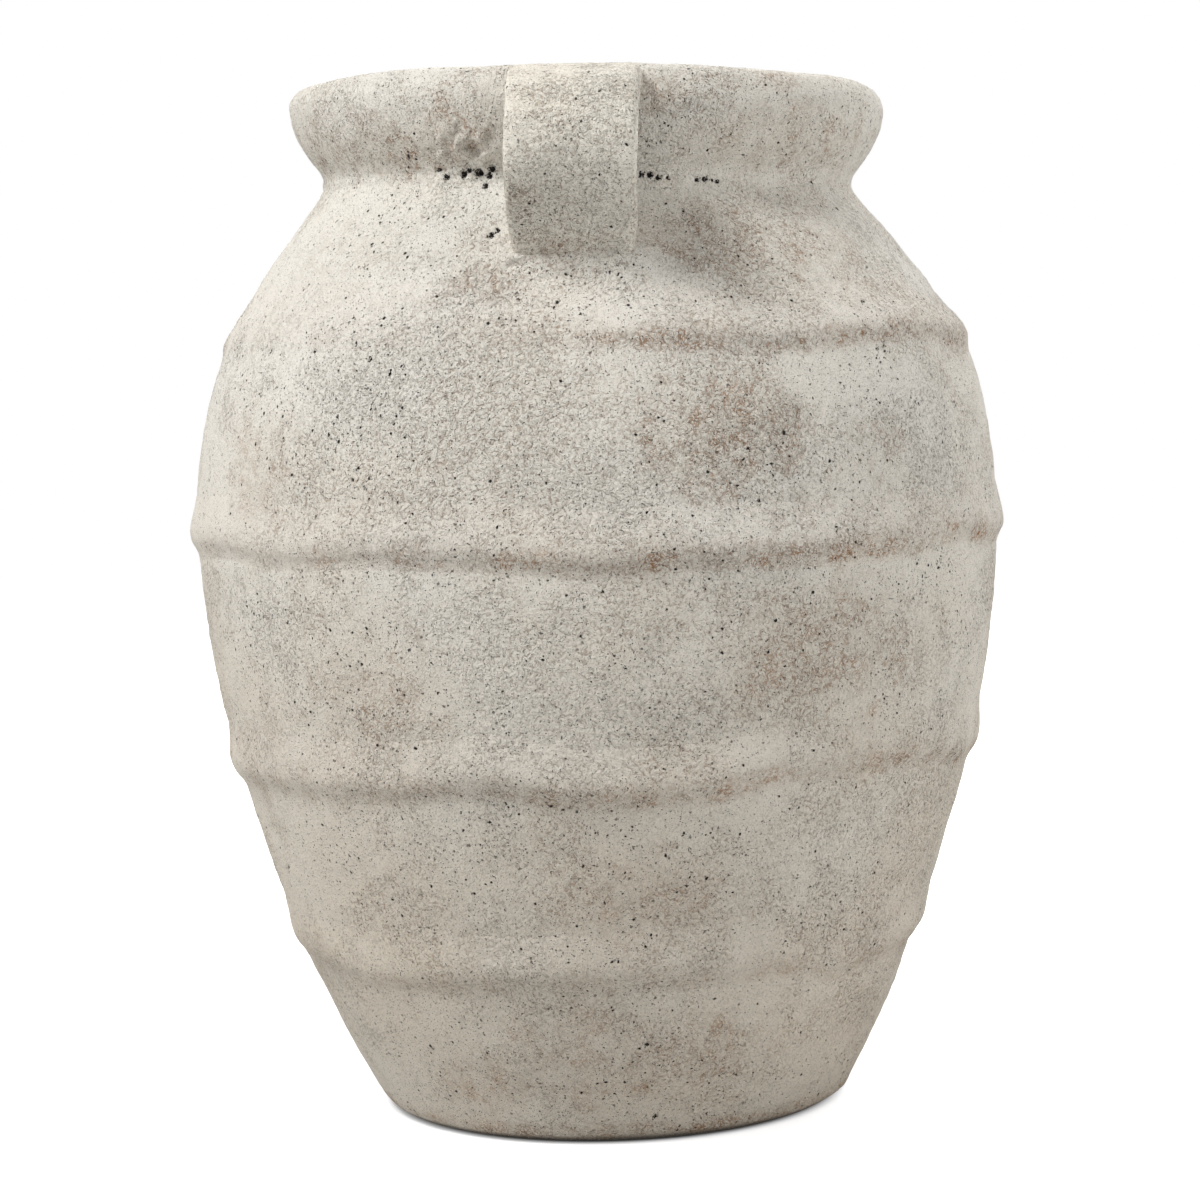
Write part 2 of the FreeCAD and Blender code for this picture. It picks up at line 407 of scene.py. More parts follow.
def tongue(radius, height):
    """The four corners of the tongue on a ring's top face, or of its groove, from the outside in."""
    root, tip, top = tongue_root / 2, tongue_tip / 2, height + tongue_height
    return [(radius + root, height), (radius + tip, top), (radius - tip, top), (radius - root, height)]


def smooth_step(low, high, value):
    """0 below low, 1 above high, and a soft change between."""
    share = min(1.0, max(0.0, (value - low) / (high - low)))
    return share * share * (3 - 2 * share)


def crust_at(co):
    """How thick and crumbly the slip is at a place, from 0 to 1."""
    clouds = crust_cloud_gain * noise.fractal(co * crust_cloud_scale, 0.9, 2.0, 3)
    amount = usual_crust + clouds + crust_spot_gain * noise.noise(co * crust_spot_scale)
    angle = math.atan2(co.x, -co.y)
    radius = math.hypot(co.x, co.y)
    for degrees, height, across, up, gain in crust_patches:
        aside = radius * math.remainder(angle - math.radians(degrees), math.tau) / across
        apart = aside * aside + ((co.z - height) / up) ** 2
        if apart < patch_end:
            amount += gain * math.exp(-apart)
    return min(1.0, max(0.0, amount))


def make_texture(name, size, depth, kind):
    """A cloudy relief for the Displace modifier, with clouds of that size."""
    texture = bpy.data.textures.new(name, "CLOUDS")
    texture.noise_scale = size
    texture.noise_depth = depth
    texture.noise_type = kind
    return texture


hand_marks = make_texture("hand marks", 58 * mm, 1, "SOFT_NOISE")
dabs = make_texture("dabs", 15 * mm, 2, "SOFT_NOISE")
crumbs = make_texture("crumbs", 4.6 * mm, 1, "HARD_NOISE")
hand_relief = 2.6 * mm
dab_relief = 1.0 * mm
crumb_relief = 0.75 * mm


def weather(piece, low, high, fade=2.0 * mm, crust_gain=1.0, hand=1.0):
    """Raises the slip's relief on a piece, leaving its joint faces at low and high as they are."""
    skin = piece.vertex_groups.new(name="skin")
    crust = piece.vertex_groups.new(name="crust")
    amounts = []
    for vertex in piece.data.vertices:
        z = vertex.co.z
        share = smooth_step(low, low + fade, z) * smooth_step(high, high - fade, z)
        amount = min(1.0, crust_at(vertex.co) * crust_gain)
        amounts.append(amount)
        skin.add([vertex.index], share, "REPLACE")
        crust.add([vertex.index], share * amount, "REPLACE")
    for texture, strength, group in (
        (hand_marks, hand_relief * hand, "skin"),
        (dabs, dab_relief, "skin"),
        (crumbs, crumb_relief, "crust"),
    ):
        relief = piece.modifiers.new(texture.name, "DISPLACE")
        relief.texture = texture
        relief.texture_coords = "LOCAL"
        relief.strength = strength
        relief.mid_level = 0.5
        relief.vertex_group = group
        bpy.context.view_layer.objects.active = piece
        bpy.ops.object.modifier_apply(modifier=relief.name)
    piece.vertex_groups.clear()
    layer = piece.data.attributes.new("crust", "FLOAT", "POINT")
    layer.data.foreach_set("value", amounts)


def blotch():
    """One cloudy patch round a centre, with a ragged edge. It marks stains and patches of painted shade
    alike.
    """
    group, given, result = start_group(
        "blotch",
        (("Place", "Vector", None), ("Centre", "Vector", None), ("Reach", "Vector", (0.03,) * 3)),
        ("Stain_and_shade",),
    )
    place, centre, reach = given.outputs[:3]
    apart = put(group, "VectorMath", operation="SUBTRACT")
    feed(group, apart.inputs[0], place)
    feed(group, apart.inputs[1], centre)
    scaled = put(group, "VectorMath", operation="DIVIDE")
    feed(group, scaled.inputs[0], apart.outputs[0])
    feed(group, scaled.inputs[1], reach)
    far = put(group, "VectorMath", operation="LENGTH")
    feed(group, far.inputs[0], scaled.outputs[0])
    edge = reckon(group, "SUBTRACT", cloud(group, place, 55.0, 5.0, 0.75), 0.5)
    ragged = reckon(group, "MULTIPLY_ADD", edge, 4.5, far.outputs["Value"])
    feed(group, result.inputs["Stain_and_shade"], ease(group, ragged, 0.3, 1.5, 1.0, 0.0))
    return group


blotch_group = blotch()
# Heights over which the foot's lowest edge is painted near-black as contact shade.
foot_contact_shade_full = 1.6 * mm
foot_contact_shade_end = 4.2 * mm
foot_stain_full = 4.0 * mm
foot_stain_end = 12.0 * mm
mottle_grey = paint(186, 180, 170)
# Buff brown for stains and for patches of painted shade.
stain_and_shade_buff = paint(164, 150, 126)
rust_brown = paint(118, 94, 70)
rust_orange = paint(148, 104, 62)
# Painted contact shade for the foot's lowest edge.
painted_contact_shade_brown = paint(54, 47, 40)
# Painted shade for the creases and for the sand's hollows.
painted_shade_grey = paint(140, 128, 114)
# Painted shade in the creases, browned by dirt caught in them.
painted_shade_and_dirt_brown = paint(142, 114, 88)
# Painted highlight for the tops of the sand grit.
painted_highlight_white = paint(238, 235, 228)
hole_black = paint(44, 41, 38)
# Brown stains, and brown patches of painted shade under the collar, beside the front handle and on the
# right:
# degrees from the front, radius, height, half width, half height, and strength.
stains_and_painted_shade = (
    (-3, 133 * mm, 352 * mm, 24 * mm, 5 * mm, 0.6),
    (-8, 150 * mm, 371 * mm, 8 * mm, 9 * mm, 0.6),
    (8, 150 * mm, 405 * mm, 6 * mm, 9 * mm, 0.2),
    # The next two lie under the collar on the left: painted shade over real brown and grey speckle.
    (-34, 116 * mm, 394 * mm, 40 * mm, 11 * mm, 0.6),
    (-62, 116 * mm, 394 * mm, 30 * mm, 10 * mm, 0.45),
    # Painted shadow of the front handle, on the shoulder to its right.
    (22, 128 * mm, 353 * mm, 24 * mm, 14 * mm, 0.6),
    # Painted shade on the right shoulder, where the rim shades it.
    (44, 134 * mm, 345 * mm, 34 * mm, 22 * mm, 0.4),
    # Painted shadow of the handle's side on the rim, with real brown speckle.
    (13, 121 * mm, 409 * mm, 12 * mm, 7 * mm, 0.5),
    (40, 119 * mm, 413 * mm, 26 * mm, 4 * mm, 0.35),
    (-13, 133 * mm, 341 * mm, 16 * mm, 8 * mm, 0.45),
    # Under the collar on the right: painted shade.
    (46, 115 * mm, 393 * mm, 36 * mm, 11 * mm, 0.6),
    (-48, 132 * mm, 346 * mm, 44 * mm, 22 * mm, 0.15),
    (22, 162 * mm, 280 * mm, 32 * mm, 22 * mm, 0.7),
    (44, 160 * mm, 275 * mm, 16 * mm, 16 * mm, 0.4),
    (-50, 163 * mm, 272 * mm, 24 * mm, 20 * mm, 0.4),
    (-5, 120 * mm, 38 * mm, 26 * mm, 32 * mm, 0.4),
    (6, 112 * mm, 20 * mm, 10 * mm, 18 * mm, 0.5),
    (-26, 116 * mm, 26 * mm, 26 * mm, 13 * mm, 0.5),
    (22, 118 * mm, 32 * mm, 20 * mm, 22 * mm, 0.5),
    (-30, 158 * mm, 185 * mm, 30 * mm, 20 * mm, 0.3),
    # A stain on the belly's right, made larger and darker as painted shade.
    (34, 160 * mm, 198 * mm, 38 * mm, 24 * mm, 0.5),
    (10, 146 * mm, 105 * mm, 40 * mm, 18 * mm, 0.3),
)


def slip_coat(name, light, warm, crumbs, relief_depth, hole_share):
    """Thick off-white sandy slip, with creases between its crumbs, pinholes, and dirt in its grain.
    Its colour also holds painted shade in the creases, the sand's hollows, the foot's lowest edge and some
    patches, and painted highlights on the grit.
    """
    material = bpy.data.materials.new(name)
    material.use_nodes = True
    tree = material.node_tree
    shader = tree.nodes["Principled BSDF"]
    place = put(tree, "TexCoord").outputs["Object"]
    spot = put(tree, "SeparateXYZ")
    feed(tree, spot.inputs[0], place)
    crust = put(tree, "Attribute", attribute_name="crust").outputs["Fac"]
    pit = put(tree, "Attribute", attribute_name="pit").outputs["Fac"]
    patchy = cloud(tree, place, 70.0, 4.0, 0.65)
    crust = reckon(tree, "MULTIPLY_ADD", reckon(tree, "SUBTRACT", patchy, 0.5), 1.6, crust, clamp=True)
    grain = use_group(tree, grain_group, Place=place, Crumbs=crumbs, Crust=crust)

    gathered = ease(tree, cloud(tree, place, 26.0, 3.0, 0.6), 0.44, 0.6, hole_share * 0.15, hole_share)
    fine = use_group(tree, pinhole_group, Place=place, Cells=420.0, Size=0.24, Share=gathered)["Hole"]
    small = use_group(tree, pinhole_group, Place=place, Cells=300.0, Size=0.2, Share=gathered)["Hole"]
    wide_share = reckon(tree, "MULTIPLY", gathered, 0.3)
    wide = use_group(tree, pinhole_group, Place=place, Cells=120.0, Size=0.12, Share=wide_share)["Hole"]
    ragged_pit = reckon(tree, "MULTIPLY_ADD", reckon(tree, "SUBTRACT", grain["Sand"], 0.5), 2.6, pit)
    dark = reckon(tree, "MAXIMUM", reckon(tree, "MAXIMUM", small, wide), ease(tree, ragged_pit, 0.42, 0.6))
    holes = reckon(tree, "MAXIMUM", dark, reckon(tree, "MULTIPLY", fine, 0.65))

    broad = cloud(tree, place, 14.0, 3.0, 0.6)
    downward = ease(tree, spot.outputs["Z"], 40 * mm, 340 * mm, 0.8, 0.1)
    warmth = reckon(tree, "MULTIPLY_ADD", reckon(tree, "SUBTRACT", broad, 0.5), 1.0, downward, clamp=True)
    colour = blend_colour(tree, warmth, light, warm)
    mottled = ease(tree, cloud(tree, place, 190.0, 3.0, 0.65), 0.5, 0.75, 0.0, 0.35)
    colour = blend_colour(tree, mottled, colour, mottle_grey)

    dirt = put(tree, "Attribute", attribute_name="dirt").outputs["Fac"]
    washed = ease(tree, cloud(tree, place, 34.0, 4.0, 0.7), 0.36, 0.56, 0.35, 1.0)
    stain_and_shade_share = reckon(tree, "MULTIPLY", dirt, washed)
    for angle, radius, height, across, up, strength in stains_and_painted_shade:
        mark = use_group(
            tree, blotch_group, Place=place, Centre=around(angle, radius, height), Reach=(across, across, up)
        )["Stain_and_shade"]
        stain_and_shade_share = reckon(tree, "MAXIMUM", stain_and_shade_share, reckon(tree, "MULTIPLY", mark, strength))
    wet_edge = ease(tree, spot.outputs["Z"], foot_stain_full, foot_stain_end, 0.7, 0.0)
    stain_and_shade_share = reckon(tree, "MAXIMUM", stain_and_shade_share, reckon(tree, "MULTIPLY", wet_edge, washed))
    # Stains and patches of painted shade go over to buff brown.
    colour = blend_colour(tree, reckon(tree, "MULTIPLY", stain_and_shade_share, 0.16), colour, stain_and_shade_buff)
    rust = blend_colour(tree, ease(tree, patchy, 0.42, 0.6), rust_brown, rust_orange)
    tufts = ease(tree, cloud(tree, place, 170.0, 2.0, 0.6), 0.4, 0.58, 0.45, 1.25)
    caught = reckon(tree, "MULTIPLY", stain_and_shade_share, ease(tree, patchy, 0.35, 0.55, 0.35, 1.0))
    caught = reckon(tree, "MULTIPLY", caught, tufts)
    colour = blend_colour(tree, reckon(tree, "MULTIPLY", caught, grain["Vein"], clamp=True), colour, rust)
    # Painted contact shade: the lowest few millimetres of the foot go near-black.
    contact_shade_share = ease(tree, spot.outputs["Z"], foot_contact_shade_full, foot_contact_shade_end, 0.85, 0.0)
    colour = blend_colour(tree, contact_shade_share, colour, painted_contact_shade_brown)

    # Painted shade in the creases between the crumbs, stronger where the crust is thick, grey to brown with
    # dirt caught in them.
    crease_shade_and_dirt_tint = blend_colour(tree, ease(tree, broad, 0.42, 0.58), painted_shade_grey, painted_shade_and_dirt_brown)
    colour = blend_colour(tree, reckon(tree, "MULTIPLY", grain["Crease"], 0.6), colour, crease_shade_and_dirt_tint)
    # Painted shade in the hollows of the sand.
    sand_hollow_shade = ease(tree, grain["Sand"], 0.3, 0.46, 0.35, 0.0)
    colour = blend_colour(tree, sand_hollow_shade, colour, painted_shade_grey)
    # Painted highlights on the high points of the sand grit.
    painted_grit_highlight = ease(tree, grain["Sand"], 0.56, 0.7, 0.0, 0.45)
    colour = blend_colour(tree, painted_grit_highlight, colour, painted_highlight_white)
    colour = blend_colour(tree, holes, colour, hole_black)
    feed(tree, shader.inputs["Base Color"], colour)

    feed(tree, shader.inputs["Roughness"], ease(tree, grain["Sand"], 0.3, 0.7, 0.98, 0.82))
    shader.inputs["Specular IOR Level"].default_value = 0.22
    relief = put(tree, "Bump")
    relief.inputs["Distance"].default_value = relief_depth
    surface = reckon(tree, "MULTIPLY_ADD", holes, -1.2, grain["Height"])
    feed(tree, relief.inputs["Height"], surface)
    feed(tree, shader.inputs["Normal"], relief.outputs[0])
    return material


wall_coat = slip_coat("wall_slip", paint(222, 218, 209), paint(208, 198, 182), 330.0, 1.4 * mm, 0.85)


def coat_inside(piece, below):
    """Leaves the faces of a ring that look at the jar's axis bare, below that height."""
    piece.data.materials.append(bare_coat)
    for face in piece.data.polygons:
        middle = face.center
        towards_axis = face.normal.x * middle.x + face.normal.y * middle.y < 0
        if towards_axis and middle.z < below:
            face.material_index = 1


foot_outline = (
    arc(foot_flat, foot_rounding, foot_edge, skin_step)
    + arc(foot_edge, foot_middle, foot_join, skin_step)
    + [foot_join]
    + tongue(foot_tongue, foot_join[1])
    + arc(inward(foot_join), inward(foot_middle), heel, inside_step)
    + [heel, (disc_radius, disc_top), (disc_radius, disc_bottom + disc_bevel)]
    + [(disc_flat, disc_bottom), (disc_flat, 0)]
)
foot_drum = draw("clay_foot_drum", foot_outline)
turn_round(foot_drum, skin_step)
weather(foot_drum, 0.0, foot_join[1], fade=5 * mm)
stand_for(foot_drum, "foot_drum", wall_coat)
coat_inside(foot_drum, foot_join[1])


# Lower belly drum. The second ring of the wall, of the same coils and slip. A groove in its bottom face
# sits over the foot drum's tongue, and it flares up and out.
lower_belly_middle = (142.4 * mm, 112.0 * mm)
lower_belly_join = (152.6 * mm, 148.0 * mm)
lower_belly_tongue = 146.0 * mm


def make_drum(node, bottom, middle, top, bottom_tongue, top_tongue, top_in=None):
    """One plain ring of the wall, with a groove below and a tongue above, from its outline to its coat."""
    outline = (
        arc(bottom, middle, top, skin_step)
        + [top]
        + tongue(top_tongue, top[1])
        + arc(top_in or inward(top), inward(middle), inward(bottom), inside_step)
        + [inward(bottom)]
        + tongue(bottom_tongue, bottom[1])[::-1]
    )
    drum = draw("clay_" + node, outline)
    turn_round(drum, skin_step)
    weather(drum, bottom[1], top[1])
    stand_for(drum, node, wall_coat)
    coat_inside(drum, top[1])
    return drum


lower_belly_drum = make_drum(
    "lower_belly_drum", foot_join, lower_belly_middle, lower_belly_join, foot_tongue, lower_belly_tongue
)


# Upper belly drum. The third and tallest ring, almost upright, up to the jar's widest place.
upper_belly_middle = (161.6 * mm, 194.0 * mm)
upper_belly_join = (164.9 * mm, 240.0 * mm)
upper_belly_tongue = 158.2 * mm
upper_belly_drum = make_drum(
    "upper_belly_drum",
    lower_belly_join,
    upper_belly_middle,
    upper_belly_join,
    lower_belly_tongue,
    upper_belly_tongue,
)


# Shoulder drum. The fourth ring, which leans in from the widest place to the shoulder. Its wall is thicker
# at the top, where it carries the cone.
shoulder_middle = (162.0 * mm, 280.0 * mm)
shoulder_join = (150.4 * mm, 318.0 * mm)
shoulder_tongue = 141.2 * mm
cone_wall = 12.5 * mm
shoulder_drum = make_drum(
    "shoulder_drum",
    upper_belly_join,
    shoulder_middle,
    shoulder_join,
    upper_belly_tongue,
    shoulder_tongue,
    inward(shoulder_join, cone_wall),
)


# Shoulder cone. The fifth ring, closed in steeply by hand up to the neck crease. It sank a little to the
# right while it was soft, and a row of holes is left where the collar was pressed on.
cone_middle = (130.2 * mm, 348.0 * mm)
cone_end = (113.4 * mm, 369.0 * mm)
neck_pull_below = (108.8 * mm, 374.9 * mm)
neck = (108.8 * mm, 377.0 * mm)
neck_tongue = 103.2 * mm
throat = (97.4 * mm, 377.0 * mm)
lip_height = 409 * mm
jar_height = cad_box[1].z
throat_slip = 12 * mm
# How far the clay has risen at a height, on the left, in the middle and on the right.
settled = (
    (318 * mm, 0.0, 0.0, 0.0),
    (377 * mm, 4.8 * mm, 0.5 * mm, -2.3 * mm),
    (409 * mm, 4.1 * mm, -0.5 * mm, -4.3 * mm),
    (422 * mm, -0.8 * mm, -1.0 * mm, -6.3 * mm),
)
rim_lean = 1.2 * mm
pit_full_depth = 0.8
pit_full_mark = 0.6
# The larger holes: degrees from the front, then height, reach and depth in millimetres.
pits = (
    (-29.2, 380.6, 1.3, 1.4),
    (-27.4, 377.8, 1.7, 1.8),
    (-23.6, 378.6, 1.9, 2.4),
    (-22.4, 380.2, 1.6, 2.0),
    (-20.2, 379.4, 2.2, 2.6),
    (-17.9, 378.2, 2.0, 2.4),
    (-17.4, 380.6, 1.9, 2.2),
    (-18.6, 374.2, 1.5, 1.6),
    (12.9, 378.6, 1.6, 1.8),
    (14.8, 378.4, 1.8, 2.2),
    (16.4, 377.2, 1.4, 1.6),
    (18.5, 377.4, 1.2, 1.3),
    (24.8, 376.6, 1.3, 1.6),
    (26.5, 377.0, 1.5, 1.8),
    (28.2, 376.4, 1.0, 1.2),
    (29.4, 376.0, 1.3, 1.6),
    (-15.2, 355.6, 1.7, 1.9),
    (-14.2, 357.4, 1.4, 1.5),
    (-53.7, 315, 1.1, 1.0),
    (-50.4, 315, 1.0, 1.0),
    (-42.2, 314.5, 1.0, 1.0),
    (-31.3, 311.5, 1.3, 1.4),
    (-27.5, 306, 1.4, 1.4),
    (-25.6, 308.5, 1.1, 1.1),
    (46.9, 309.5, 1.1, 1.2),
    (48.6, 310.6, 1.0, 1.0),
    (48.4, 308.2, 1.1, 1.0),
    (47.5, 327.5, 1.1, 1.0),
    (10.7, 11.5, 1.5, 1.3),
    (150, 378, 2.0, 2.2),
    (154, 377.5, 1.5, 1.7),
    (203, 378, 1.8, 2.0),
    (206, 377, 1.4, 1.5),
    (95, 378, 1.6, 1.8),
    (-88, 378, 1.5, 1.6),
)


def bend(start, pull, end, step):
    """Places along a soft bend from start to end, drawn out towards pull, without the end itself."""
    count = max(1, round((math.dist(start, pull) + math.dist(pull, end)) / step))
    shares = [i / count for i in range(count)]
    return [
        tuple(a * (1 - t) ** 2 + 2 * p * t * (1 - t) + b * t * t for a, p, b in zip(start, pull, end))
        for t in shares
    ]


def settle(piece):
    """Lets the shoulder, neck and rim sink and lean to the right, and keeps them within the jar's height."""
    for vertex in piece.data.vertices:
        co = vertex.co
        side = co.x / math.hypot(co.x, co.y)
        moved = []
        for height, left, middle, right in settled:
            tilt = side * (right - left) / 2
            sag = side * side * ((right + left) / 2 - middle)
            moved.append((height, middle + tilt + sag))
        shift = 0.0
        for (low, before), (high, after) in zip(moved, moved[1:]):
            shift += (after - before) * min(1.0, max(0.0, (co.z - low) / (high - low)))
        co.x += rim_lean * smooth_step(neck[1], lip_height, co.z)
        co.z = min(co.z + shift, jar_height)


def dent(piece):
    """Presses the larger holes into a piece, and marks them for its coat."""
    spots = [
        (around(angle, 1, 0), height * mm, reach * mm, depth * mm) for angle, height, reach, depth in pits
    ]
    marks = [0.0] * len(piece.data.vertices)
    moves = []
    for index, vertex in enumerate(piece.data.vertices):
        co = vertex.co
        radius = math.hypot(co.x, co.y)
        outwards = Vector((co.x, co.y, 0)) / radius
        if vertex.normal.dot(outwards) < 0:
            continue
        for direction, height, reach, depth in spots:
            if abs(co.z - height) > reach:
                continue
            apart = (direction * radius - Vector((co.x, co.y, 0))).length
            near = 1 - math.hypot(apart, co.z - height) / reach
            if near > 0:
                moves.append((vertex, -outwards * depth * smooth_step(0, pit_full_depth, near)))
                marks[index] = smooth_step(0, pit_full_mark, near)
    for vertex, move in moves:
        vertex.co += move
    layer = piece.data.attributes.new("pit", "FLOAT", "POINT")
    layer.data.foreach_set("value", marks)


# Folds that the fingers left: degrees from the front, height, half width, half height, and rise.
folds = (
    (-23, 391 * mm, 13 * mm, 8 * mm, 3.4 * mm),
    (-18, 385 * mm, 6 * mm, 6 * mm, 2.6 * mm),
    (-12, 345 * mm, 10 * mm, 6 * mm, 3.0 * mm),
    (-5, 343 * mm, 16 * mm, 4 * mm, 1.8 * mm),
    (7, 343 * mm, 12 * mm, 4 * mm, 1.4 * mm),
    (-24, 377 * mm, 18 * mm, 3 * mm, 1.6 * mm),
    (18, 377 * mm, 20 * mm, 3 * mm, 1.0 * mm),
)
fold_end = 5
fold_limit = 90 * mm
smear_height = 349 * mm
smear_reach = 6.0 * mm
smear_half_width = 21 * mm
smear_edge = 6.5 * mm
smear_rise = 4.0 * mm


def crumple(piece):
    """Raises the clay smeared up to the straps' roots, and the folds that the fingers left in it."""
    moves = []
    for vertex in piece.data.vertices:
        co = vertex.co
        if abs(co.x) > fold_limit:
            continue
        angle = math.degrees(math.atan2(co.x, -co.y))
        radius = math.hypot(co.x, co.y)
        outwards = Vector((co.x, co.y, 0)) / radius
        if vertex.normal.dot(outwards) < 0:
            continue
        beside = max(0.0, abs(co.x) - smear_half_width) / smear_edge
        apart = beside * beside + ((co.z - smear_height) / smear_reach) ** 2
        lift = smear_rise * math.exp(-apart)
        for degrees, height, across, up, rise in folds:
            aside = radius * math.radians(angle - degrees) / across
            apart = aside * aside + ((co.z - height) / up) ** 2
            if apart < fold_end:
                kneaded = 0.3 + noise.noise(co * 190) + 0.5 * noise.noise(co * 400)
                lift += rise * math.exp(-apart) * kneaded
        moves.append((vertex, outwards * lift))
    for vertex, move in moves:
        vertex.co += move


dent(foot_drum)
dent(shoulder_drum)
cone_outline = (
    arc(shoulder_join, cone_middle, cone_end, skin_step)
    + bend(cone_end, neck_pull_below, neck, skin_step * 0.7)
    + [neck]
    + tongue(neck_tongue, neck[1])
    + arc(throat, inward(cone_middle, cone_wall), inward(shoulder_join, cone_wall), inside_step / 2)
    + [inward(shoulder_join, cone_wall)]
    + tongue(shoulder_tongue, shoulder_join[1])[::-1]
)
shoulder_cone = draw("clay_shoulder_cone", cone_outline)
turn_round(shoulder_cone, skin_step)
weather(shoulder_cone, shoulder_join[1], neck[1])
crumple(shoulder_cone)
dent(shoulder_cone)
settle(shoulder_cone)
stand_for(shoulder_cone, "shoulder_cone", wall_coat)
coat_inside(shoulder_cone, neck[1] - throat_slip)


# Rim collar. The last ring: a flared collar pressed on over the neck crease, with a thick lip rolled
# outwards by hand. The slip goes over the lip and a short way down the throat.
neck_pull_above = (108.8 * mm, 380.9 * mm)
collar_start = (112.6 * mm, 385.4 * mm)
collar_pull = (121.2 * mm, 398.0 * mm)
lip_outer = (122.0 * mm, lip_height)
lip_pull = (122.0 * mm, 414.3 * mm)
lip_shoulder = (118.2 * mm, 419.0 * mm)
lip_over = (114.9 * mm, 421.2 * mm)
lip_top = (111.0 * mm, 422.0 * mm)
lip_in = (106.2 * mm, 420.5 * mm)
lip_inner = (103.2 * mm, 416.5 * mm)
throat_middle = (98.8 * mm, 402.0 * mm)
no_joint_above = 2 * jar_height
collar_outline = (
    bend(neck, neck_pull_above, collar_start, skin_step * 0.7)
    + bend(collar_start, collar_pull, lip_outer, skin_step)
    + bend(lip_outer, lip_pull, lip_shoulder, skin_step)
    + arc(lip_shoulder, lip_over, lip_top, skin_step)
    + arc(lip_top, lip_in, lip_inner, skin_step)
    + arc(lip_inner, throat_middle, throat, skin_step * 1.4)
    + [throat]
    + tongue(neck_tongue, neck[1])[::-1]
)
rim_collar = draw("clay_rim_collar", collar_outline)
turn_round(rim_collar, skin_step)
weather(rim_collar, neck[1], no_joint_above)
crumple(rim_collar)
dent(rim_collar)
settle(rim_collar)
stand_for(rim_collar, "rim_collar", wall_coat)


# Applied bands. Over each of the four lower joins a strip of clay is pressed on by hand and smoothed off
# above, so that it stands out sharply below and fades out above. Rain has left brown dirt under its edge.
band_step = 1.0 * mm
band_seat = 2.5 * mm
back_skip = 4
# A band's section, in millimetres: how high above the join, and how far proud of the wall.
band_shape = (
    (-12.0, -0.8),
    (-10.6, -0.15),
    (-9.2, 0.15),
    (-7.8, 0.5),
    (-6.2, 1.1),
    (-4.6, 1.95),
    (-3.0, 2.65),
    (-1.2, 3.0),
    (0.8, 3.0),
    (3.2, 2.65),
    (6.4, 1.95),
    (10.0, 1.05),
    (13.4, 0.4),
    (16.0, -0.2),
    (18.0, -0.9),
)
wave_spacing = 15
wave_start = -75
# How many millimetres a band rises, every wave_spacing degrees from wave_start on.
foot_waves = (0.0, 0.0, -2.6, -0.4, 0.8, 1.8, 2.4, 3.8, -1.6, 0.8)
lower_belly_waves = (0.0, 2.6, 3.1, 3.9, 7.2, 1.4, 1.8, 7.4, 7.6, 5.6)
belly_waves = (0.0, 2.6, 0.1, 2.4, 1.5, -1.4, 0.4, -0.3, 0.3, 4.0)
shoulder_waves = (4.5, 4.5, 5.8, 5.0, 5.8, 4.8, 3.2, 0.8, 4.6, 5.6)
Band = namedtuple("Band", "node join size slope dirt waves")
bands = (
    Band("foot_band", foot_join, 0.85, 0.5, 0.35, foot_waves),
    Band("lower_belly_band", lower_belly_join, 1.0, -0.2, 0.7, lower_belly_waves),
    Band("belly_band", upper_belly_join, 0.95, 0.6, 0.9, belly_waves),
    Band("shoulder_band", shoulder_join, 0.8, 0.8, 0.85, shoulder_waves),
)
pressed_share = 0.85
pressed_left = (-95, -65)
pressed_right = (18, -5)
dirt_low = -11.5 * mm
dirt_full = -6.0 * mm
dirt_high = 4.5 * mm
dirt_range = 25 * mm
pressed_clean = 0.6
shelter_edge = 0.6
dirt_turn = 20
dirt_left = 0.35
ring_circles = (
    (foot_edge[1], circle(foot_edge, foot_middle, foot_join)),
    (foot_join[1], circle(foot_join, lower_belly_middle, lower_belly_join)),
    (lower_belly_join[1], circle(lower_belly_join, upper_belly_middle, upper_belly_join)),
    (upper_belly_join[1], circle(upper_belly_join, shoulder_middle, shoulder_join)),
    (shoulder_join[1], circle(shoulder_join, cone_middle, cone_end)),
)


def wall_at(height):
    """Radius of the plain wall's outside at a height."""
    x, y, radius = [ring for start, ring in ring_circles if start <= height][-1]
    return x + math.sqrt(radius * radius - (height - y) ** 2)


def through(places, step):
    """A smooth line through the places, in even steps, with both its ends."""
    full = [places[0]] + list(places) + [places[-1]]
    result = []
    for before, start, end, after in zip(full, full[1:], full[2:], full[3:]):
        count = max(1, round(math.dist(start, end) / step))
        for i in range(count):
            t = i / count
            result.append(
                tuple(
                    b + 0.5 * t * (c - a + t * (2 * a - 5 * b + 4 * c - d + t * (3 * (b - c) + d - a)))
                    for a, b, c, d in zip(before, start, end, after)
                )
            )
    return result + [places[-1]]


def strayed(band, co):
    """How far that band lies above its join, at the place's side of the jar: it slopes, and it waves."""
    angle = math.degrees(math.atan2(co.x, -co.y))
    rise = -co.x * math.tan(math.radians(band.slope))
    for index, wave in enumerate(band.waves):
        away = abs(angle - wave_start - index * wave_spacing) / wave_spacing
        if away < 1:
            rise += wave * mm * math.cos(away * math.pi / 2) ** 2
    return rise


def pressed(band, co):
    """How nearly flat that band is pressed there. Only the shoulder's band is, at its left front."""
    if band.join is not shoulder_join:
        return 0.0
    angle = math.degrees(math.atan2(co.x, -co.y))
    return pressed_share * smooth_step(*pressed_left, angle) * smooth_step(*pressed_right, angle)


